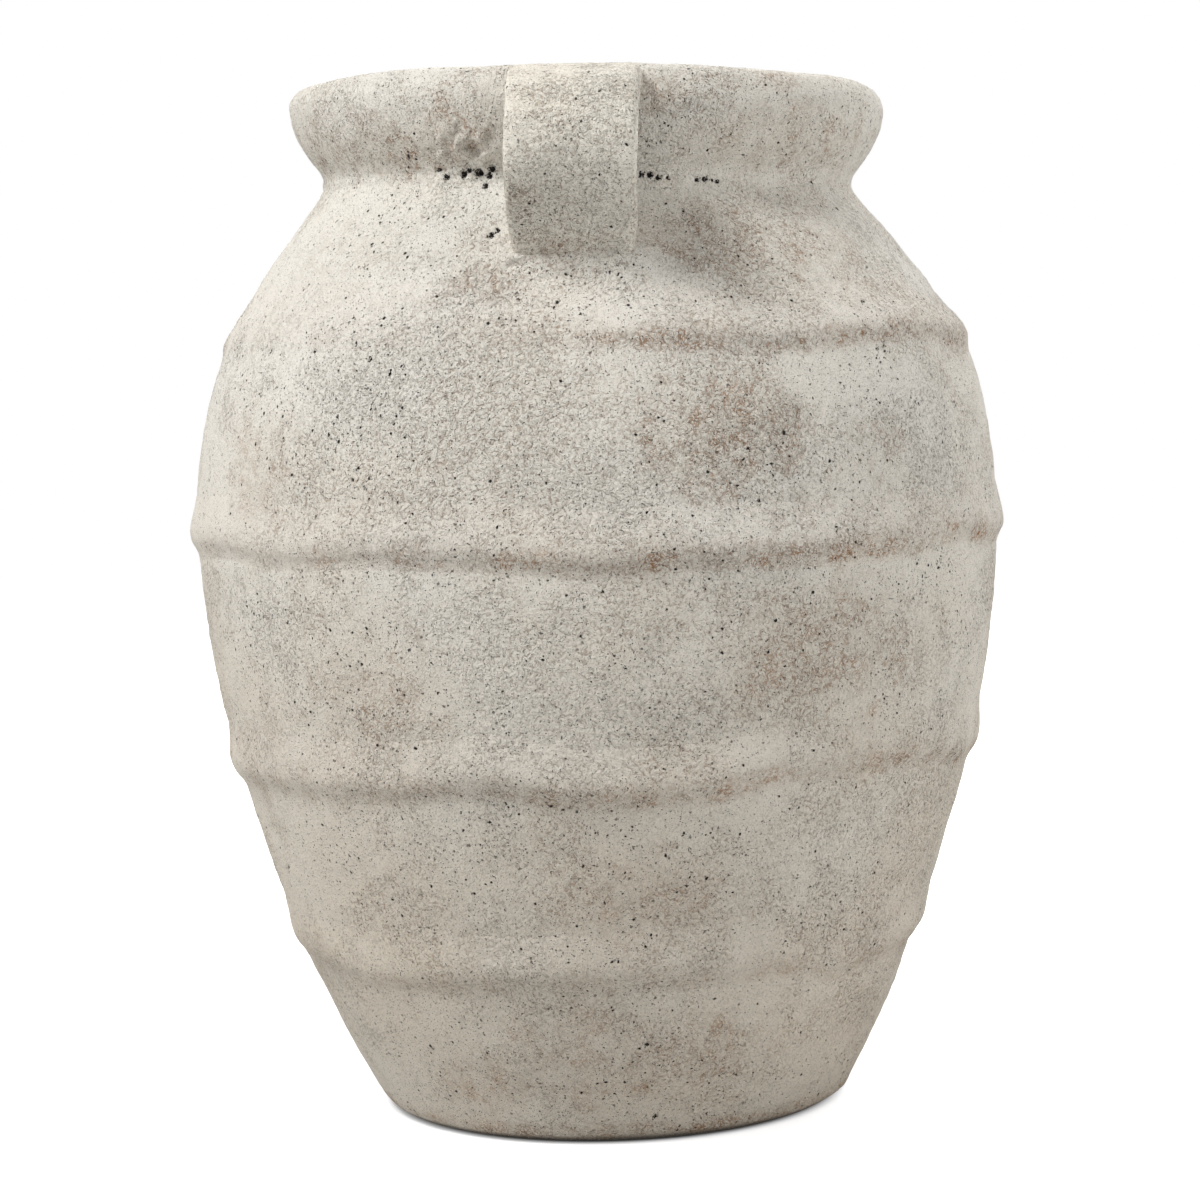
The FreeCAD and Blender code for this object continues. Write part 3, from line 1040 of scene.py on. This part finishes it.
def soil(piece):
    """Marks how much dirt each place holds: most on and under the bands' lower faces, less at the left."""
    amounts = []
    for vertex in piece.data.vertices:
        co = vertex.co
        amount = 0.0
        for band in bands:
            rise = co.z - band.join[1]
            if abs(rise) < dirt_range:
                rise -= strayed(band, co)
                amount = smooth_step(dirt_low, dirt_full, rise) * smooth_step(dirt_high, dirt_full, rise)
                amount *= band.dirt * (1 - pressed_clean * pressed(band, co))
        facing = math.sin(math.atan2(co.x, -co.y) + math.radians(dirt_turn))
        sheltered = smooth_step(-shelter_edge, shelter_edge, facing)
        amounts.append(amount * (dirt_left + (1 - dirt_left) * sheltered))
    layer = piece.data.attributes.new("dirt", "FLOAT", "POINT")
    layer.data.foreach_set("value", amounts)


def lay(piece, band):
    """Lets a band slope and wave on the wall, and presses it flat where the fingers did."""
    for vertex in piece.data.vertices:
        co = vertex.co
        height = co.z + strayed(band, co)
        radius = math.hypot(co.x, co.y)
        proud = radius - wall_at(co.z)
        if proud > 0:
            proud *= 1 - pressed(band, co)
        grown = (wall_at(height) + proud) / radius
        vertex.co = (co.x * grown, co.y * grown, height)


band_coat = slip_coat("band_slip", paint(221, 216, 207), paint(207, 197, 181), 330.0, 1.4 * mm, 0.8)
for ring in (foot_drum, lower_belly_drum, upper_belly_drum, shoulder_drum, shoulder_cone):
    soil(ring)
for band in bands:
    shape = through([(proud * band.size * mm, rise * mm) for rise, proud in band_shape], band_step)
    places = [(proud, band.join[1] + rise) for proud, rise in shape]
    outline = [(wall_at(z) + proud, z) for proud, z in places]
    back = [(wall_at(z) - band_seat, z) for r, z in reversed(outline[::back_skip])]
    strip = draw("clay_" + band.node, outline + back)
    turn_round(strip, skin_step)
    lay(strip, band)
    weather(strip, 0.0, no_joint_above)
    soil(strip)
    if band.join is shoulder_join:
        dent(strip)
        settle(strip)
    stand_for(strip, band.node, band_coat)


# Strap handles. Each is a flat strap of clay, bent from the lip out and down to the shoulder, with rounded
# edges. Its ends are luted on and smeared out over the wall, and it wears a coarse coat of slip.
strap_width = 51 * mm
strap_thickness = 13 * mm
strap_taper = 0.94
strap_sway = -1.5 * mm
strap_smear = 0.8
strap_pinch = 0.1
strap_smear_length = 16 * mm
strap_step = 5.0 * mm
strap_cells = (8, 2)
strap_softening = 3
strap_line = (
    (106.0 * mm, 413.6 * mm),
    (110.0 * mm, 414.4 * mm),
    (126.0 * mm, 414.0 * mm),
    (142.5 * mm, 407.5 * mm),
    (151.5 * mm, 394.0 * mm),
    (148.5 * mm, 378.5 * mm),
    (138.2 * mm, 365.5 * mm),
    (122.4 * mm, 348.2 * mm),
)
strap_coat = slip_coat("strap_slip", paint(231, 226, 214), paint(214, 203, 186), 360.0, 1.6 * mm, 0.85)


def bend_strap(name):
    """A flat grid of clay, extruded, turned and resized from place to place along the strap's line."""
    line_places = through(strap_line, strap_step)
    sideways = [strap_sway * index / (len(line_places) - 1) for index in range(len(line_places))]
    places = [Vector((x, -radius, height)) for x, (radius, height) in zip(sideways, line_places)]
    bpy.ops.object.select_all(action="DESELECT")
    bpy.ops.mesh.primitive_grid_add(
        x_subdivisions=strap_cells[0],
        y_subdivisions=strap_cells[1],
        size=1,
        location=places[0],
        rotation=(math.pi / 2, 0, 0),
    )
    strap = bpy.context.object
    strap.name = name
    strap.scale = (strap_width, strap_thickness, 1)
    bpy.ops.object.transform_apply()
    bpy.ops.object.mode_set(mode="EDIT")
    bpy.ops.mesh.select_all(action="SELECT")
    facing = math.pi
    wide, thick = 1.0, 1.0
    for index, place in enumerate(places[1:], 1):
        following = places[min(index + 1, len(places) - 1)]
        way = following - places[index - 1]
        bpy.ops.mesh.extrude_region_move(TRANSFORM_OT_translate={"value": place - places[index - 1]})
        turned = math.remainder(math.atan2(way.z, way.y) - facing, math.tau)
        bpy.ops.transform.rotate(value=-turned, orient_axis="X", center_override=place)
        facing += turned
        near_root = max(0.0, 1 - (places[-1] - place).length / strap_smear_length)
        new_wide = 1 - (1 - strap_taper) * index / (len(places) - 1) - strap_pinch * near_root
        new_thick = new_wide * (1 + strap_smear * near_root)
        grow = (new_wide / wide, new_thick / thick, new_thick / thick)
        bpy.ops.transform.resize(value=grow, center_override=place)
        wide, thick = new_wide, new_thick
    bpy.ops.mesh.select_all(action="SELECT")
    bpy.ops.mesh.normals_make_consistent(inside=False)
    bpy.ops.object.mode_set(mode="OBJECT")
    soften = strap.modifiers.new("soften", "SUBSURF")
    soften.levels = soften.render_levels = strap_softening
    bpy.ops.object.modifier_apply(modifier="soften")
    bpy.ops.object.shade_smooth()
    return strap


front_strap = bend_strap("clay_front_handle")
bpy.ops.object.select_all(action="DESELECT")
front_strap.select_set(True)
bpy.context.view_layer.objects.active = front_strap
bpy.ops.object.duplicate()
rear_strap = bpy.context.object
rear_strap.name = "clay_rear_handle"
rear_strap.rotation_euler.z = math.pi
bpy.ops.object.transform_apply()
for strap, node in ((front_strap, "front_handle"), (rear_strap, "rear_handle")):
    weather(strap, 0.0, no_joint_above, crust_gain=1.6, hand=0.4)
    settle(strap)
    stand_for(strap, node, strap_coat)


# Studio floor. A plain white sweep that the jar stands on. It is dark close round the foot, shows the jar's
# own faint shadow near it, and further off goes over to the white of the backdrop.
floor_size = 6.0
floor_white = 0.6
contact_reach = (89 * mm, 98 * mm)
shadow_reach = (160 * mm, 500 * mm)
shadow_lift = 0.76


def show(tree, end, lighting, picture):
    """Ends a shader tree: one shader lights the jar, and the other one is what the eye sees."""
    ray = put(tree, "LightPath").outputs
    indirect = reckon(tree, "MAXIMUM", ray["Is Glossy Ray"], ray["Is Transmission Ray"])
    choice = put(tree, "MixShader")
    feed(tree, choice.inputs[0], reckon(tree, "MAXIMUM", ray["Is Camera Ray"], indirect))
    feed(tree, choice.inputs[1], lighting)
    feed(tree, choice.inputs[2], picture)
    feed(tree, tree.nodes[end].inputs["Surface"], choice.outputs[0])


bpy.ops.object.select_all(action="DESELECT")
bpy.ops.mesh.primitive_plane_add(size=floor_size)
studio_floor = bpy.context.object
studio_floor.name = "studio_floor"
floor_paint = bpy.data.materials.new("studio_floor")
floor_paint.use_nodes = True
tree = floor_paint.node_tree
tree.nodes.remove(tree.nodes["Principled BSDF"])
matt = put(tree, "BsdfDiffuse")
matt.inputs["Color"].default_value = (floor_white, floor_white, floor_white, 1)
glow = put(tree, "Emission")
far = put(tree, "VectorMath", operation="LENGTH")
feed(tree, far.inputs[0], put(tree, "TexCoord").outputs["Object"])
beyond = ease(tree, far.outputs["Value"], *shadow_reach, shadow_lift, 1.0)
clear_of_foot = ease(tree, far.outputs["Value"], *contact_reach)
feed(tree, glow.inputs["Strength"], reckon(tree, "MULTIPLY", beyond, clear_of_foot))
both = put(tree, "AddShader")
feed(tree, both.inputs[0], matt.outputs[0])
feed(tree, both.inputs[1], glow.outputs[0])
show(tree, "Material Output", matt.outputs[0], both.outputs[0])
studio_floor.data.materials.append(floor_paint)


# Studio light. One small soft lamp high on the left and to the front, broad weaker panels on both sides and
# behind, and a pale room all round that shows as plain white.
room_strength = 0.12
room_tint = (1.0, 0.99, 0.975, 1)
# The lamps: degrees from the front, degrees up, size in metres, and power in watts.
lamps = (
    ("key_lamp", -46, 52, 0.5, 25.5),
    ("left_panel", -62, 5, 1.2, 11.5),
    ("right_panel", 60, 20, 1.2, 17.0),
    ("back_panel", 150, 40, 1.2, 23.0),
    ("back_left_panel", -150, 40, 1.2, 10.0),
)
lamp_distance = 1.9
jar_middle = Vector((0, 0, 0.22))
room = bpy.data.worlds.new("studio_room")
room.use_nodes = True
bpy.context.scene.world = room
tree = room.node_tree
light = tree.nodes["Background"]
light.inputs["Color"].default_value = room_tint
light.inputs["Strength"].default_value = room_strength
white = put(tree, "Background")
white.inputs["Color"].default_value = (1, 1, 1, 1)
show(tree, "World Output", light.outputs[0], white.outputs[0])
for name, angle, rise, size, power in lamps:
    steep = math.radians(rise)
    place = jar_middle + around(angle, lamp_distance * math.cos(steep), lamp_distance * math.sin(steep))
    bpy.ops.object.light_add(type="AREA", location=place)
    lamp = bpy.context.object
    lamp.name = name
    lamp.rotation_euler = (jar_middle - place).to_track_quat("-Z", "Y").to_euler()
    lamp.data.size = size
    lamp.data.energy = power


# Camera. It stands 1.37 m off, two degrees to the right of the front handle and a little below the rim,
# looks slightly down, and is held 1.8 degrees off level.
camera_distance = 1.3725
camera_height = 0.3247
camera_angle = 2.0
camera_pitch = 4.9
camera_roll = 1.79
camera_lens = 99.0
bpy.ops.object.camera_add(location=around(camera_angle, camera_distance, camera_height))
camera = bpy.context.object
camera.data.lens = camera_lens
turned = Euler((math.radians(90 - camera_pitch), 0, math.radians(camera_angle)))
turned.rotate_axis("Z", math.radians(-camera_roll))
camera.rotation_euler = turned
bpy.context.scene.camera = camera
bpy.context.scene.view_settings.view_transform = "Standard"
